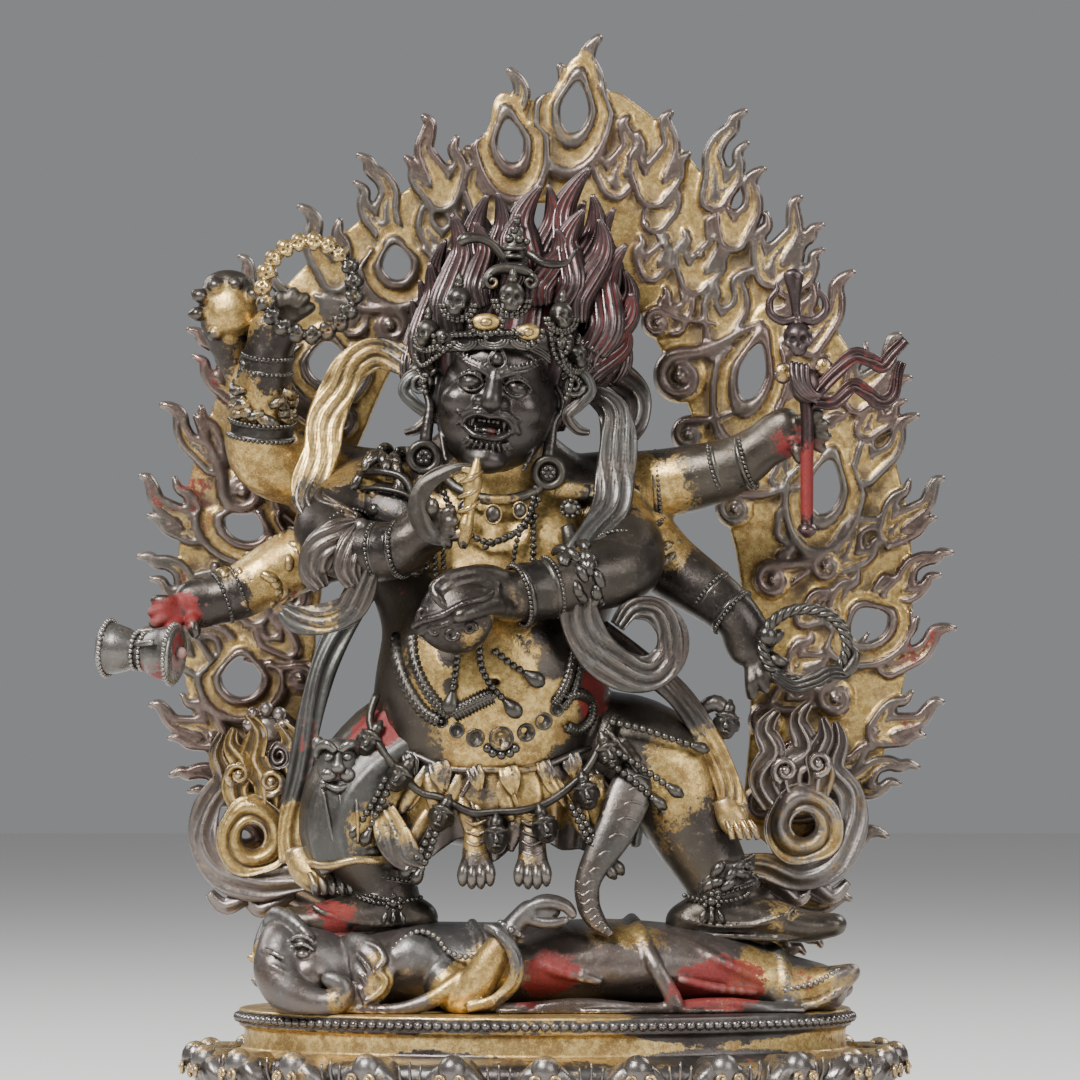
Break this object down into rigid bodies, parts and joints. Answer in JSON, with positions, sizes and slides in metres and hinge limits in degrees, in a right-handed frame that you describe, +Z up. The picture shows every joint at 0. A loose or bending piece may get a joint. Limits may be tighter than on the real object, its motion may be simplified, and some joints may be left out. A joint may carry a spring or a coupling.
{
  "type": "six-armed guardian figure on lotus plinth",
  "caption": "Wrathful multi-armed guardian in parcel-gilt bronze, striding on a prone elephant-headed figure over an oval lotus plinth, before a ring of flames.",
  "frame": {"origin": "middle of the plinth's flat underside", "axes": "+Z up, -Y the way the figure faces, +X to the viewer's right"},
  "size_m": [0.2618, 0.1484, 0.3529],
  "materials": {
    "gilt_bronze": "worn gilding over brown bronze",
    "prone_bronze": "brown bronze with rubbed gilding and red pigment",
    "dark_bronze": "dark bronze with rubbed gilding and red pigment",
    "flame_bronze": "mauve-brown flames with gilt valleys",
    "red_bronze": "dark bronze with red pigment",
    "rosary_bronze": "worn gilding",
    "grey_bronze": "dull grey bronze",
    "painted_bronze": "grey bronze with red pigment on its face",
    "knife_bronze": "dark bronze with a gilt grip",
    "cup_bronze": "dark bronze"
  },
  "bodies": {
    "root": {"lotus_plinth": "gilt_bronze", "prone_elephant_figure": "prone_bronze", "mahakala_figure": "dark_bronze", "flame_aureole": "flame_bronze", "trident": "red_bronze", "skull_rosary": "rosary_bronze", "noose": "grey_bronze", "hand_drum": "painted_bronze", "curved_knife": "knife_bronze", "skull_cup": "cup_bronze"}
  },
  "joints": []
}
